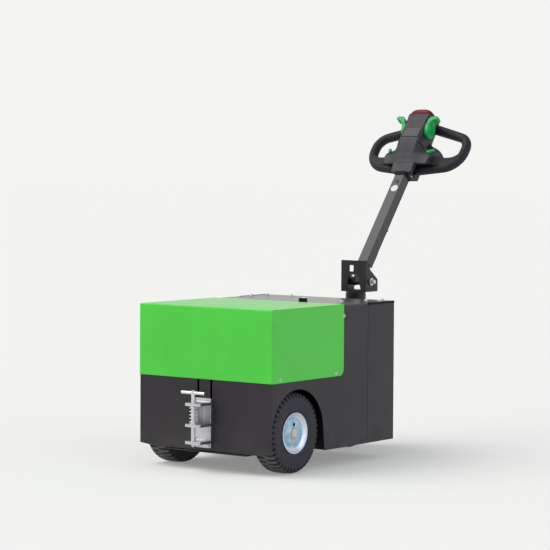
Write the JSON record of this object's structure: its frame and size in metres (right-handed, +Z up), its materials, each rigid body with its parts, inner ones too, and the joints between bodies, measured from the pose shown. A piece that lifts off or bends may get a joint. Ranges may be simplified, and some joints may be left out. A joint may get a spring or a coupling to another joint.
{
  "type": "electric tow tug",
  "caption": "Pedestrian electric tow tug: sheet-metal body on two driven wheels, tow jaw with spring pin in front, steered castor and leaning tiller behind.",
  "frame": {"origin": "on the floor, under the middle of the tug's overall width and length", "axes": "+Z up, +Y from the tow jaw towards the tiller, +X to the right seen from the tow jaw's end"},
  "size_m": [0.542, 1.3972, 1.1868],
  "materials": {
    "cover_paint": "fine satin powder coat",
    "body_paint": "matte powder coat",
    "black_paint": "satin powder coat",
    "tiller_paint": "satin powder coat",
    "cast_housing": "painted casting",
    "battery_case": "matte",
    "zinc": "zinc plated",
    "steel": "machined and zinc plated",
    "tyre_rubber": "matte rubber",
    "castor_rubber": "matte rubber",
    "head_plastic": "fine moulded grain",
    "grip_plastic": "soft touch",
    "green_plastic": "semi gloss",
    "red_plastic": "semi gloss"
  },
  "bodies": {
    "root": {"green_cover": "cover_paint", "front_panel": "body_paint", "side_panel_right": "body_paint", "side_panel_left": "body_paint", "rear_cover": "body_paint", "deck_plate": "body_paint", "floor_pan": "body_paint", "wheel_box_right": "body_paint", "wheel_box_left": "body_paint", "transaxle": "cast_housing", "battery_pack": "battery_case", "tow_jaw": "zinc", "steering_carrier": "black_paint", "column_housing": "black_paint"},
    "wheel_right": {"tyre_right": "tyre_rubber", "rim_right": "zinc", "half_shaft_right": "steel"},
    "wheel_left": {"tyre_left": "tyre_rubber", "rim_left": "zinc", "half_shaft_left": "steel"},
    "tow_pin_body": {"tow_pin": "steel", "tow_pin_handle": "steel", "tow_pin_collar": "steel", "tow_pin_spring": "steel"},
    "steering": {"steering_shaft": "steel", "castor_fork": "black_paint", "castor_axle": "steel", "steering_bracket": "black_paint", "tiller_pivot_pin": "steel"},
    "castor_wheel": {"castor_rim": "zinc", "castor_tyre": "castor_rubber"},
    "tiller": {"tiller_tube": "tiller_paint", "tiller_channel": "tiller_paint", "head_housing": "head_plastic", "head_bracket": "black_paint", "handle_loop_right": "grip_plastic", "handle_loop_left": "grip_plastic", "thumb_wheel_right": "green_plastic", "thumb_wheel_left": "green_plastic", "belly_button": "red_plastic"}
  },
  "joints": [
    {"name": "wheel_right_spin", "type": "hinge", "parent": "root", "child": "wheel_right", "pos_m": [0.22, -0.4894, 0.13], "axis": [1, 0, 0], "continuous": true},
    {"name": "wheel_left_spin", "type": "hinge", "parent": "root", "child": "wheel_left", "pos_m": [-0.22, -0.4894, 0.13], "axis": [1, 0, 0], "continuous": true},
    {"name": "tow_pin_lift", "type": "slide", "parent": "root", "child": "tow_pin_body", "axis": [0, 0, 1], "range_m": [0, 0.038], "deforming": ["tow_pin_spring"]},
    {"name": "steering_turn", "type": "hinge", "parent": "root", "child": "steering", "pos_m": [0, 0.2206, 0.45], "axis": [0, 0, 1], "range_deg": [-90, 90]},
    {"name": "castor_spin", "type": "hinge", "parent": "steering", "child": "castor_wheel", "pos_m": [0, 0.1756, 0.1], "axis": [1, 0, 0], "continuous": true},
    {"name": "tiller_lean", "type": "hinge", "parent": "steering", "child": "tiller", "pos_m": [0, 0.2376, 0.576], "axis": [1, 0, 0], "range_deg": [-40, 32.7]}
  ]
}
